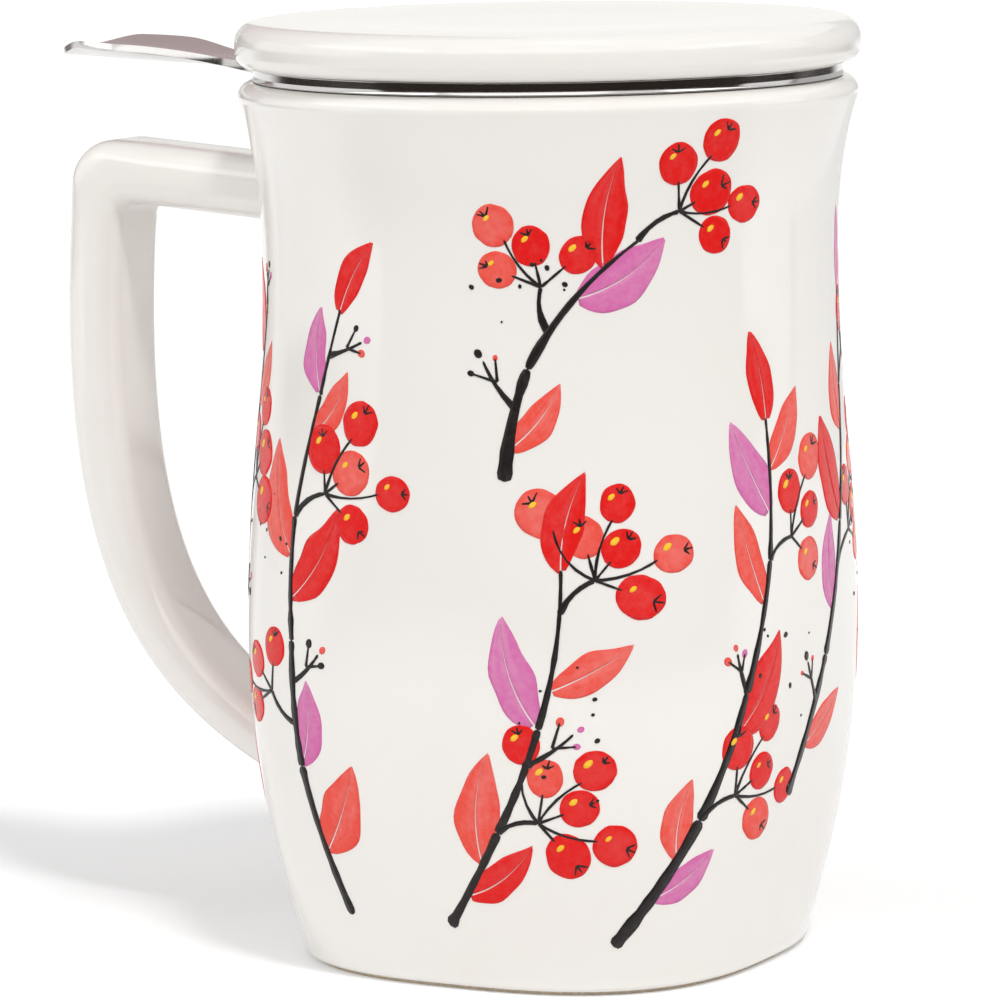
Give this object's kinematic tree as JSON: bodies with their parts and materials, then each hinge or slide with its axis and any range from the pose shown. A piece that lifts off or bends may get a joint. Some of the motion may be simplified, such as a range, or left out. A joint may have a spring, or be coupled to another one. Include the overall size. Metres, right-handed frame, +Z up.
{
  "type": "lidded tea mug with infuser",
  "caption": "Tall waisted mug, round at the lip and a rounded square at the foot, with an angular side handle, a steel basket infuser with a dished thumb tab, and a flat lift-off lid.",
  "frame": {"origin": "On the mug's axis, in the plane of the unglazed foot ring that it stands on.", "axes": "+Z is up along the mug's axis; the handle and the infuser's thumb tab point along -X; +Y is to the side."},
  "size_m": [0.1153, 0.0826, 0.1245],
  "materials": {
    "glaze": "gloss",
    "steel": "satin"
  },
  "bodies": {
    "mug": {"mug_body": "glaze", "mug_handle": "glaze"},
    "infuser": {"infuser_rim": "steel", "infuser_tab": "steel", "infuser_basket": "steel", "infuser_base": "steel"},
    "lid": {"lid": "glaze"}
  },
  "joints": [
    {"name": "infuser_lift", "type": "slide", "parent": "mug", "child": "infuser", "axis": [0, 0, 1], "range_m": [0, 0.1]},
    {"name": "lid_lift", "type": "slide", "parent": "infuser", "child": "lid", "axis": [0, 0, 1], "range_m": [0, 0.055]}
  ]
}
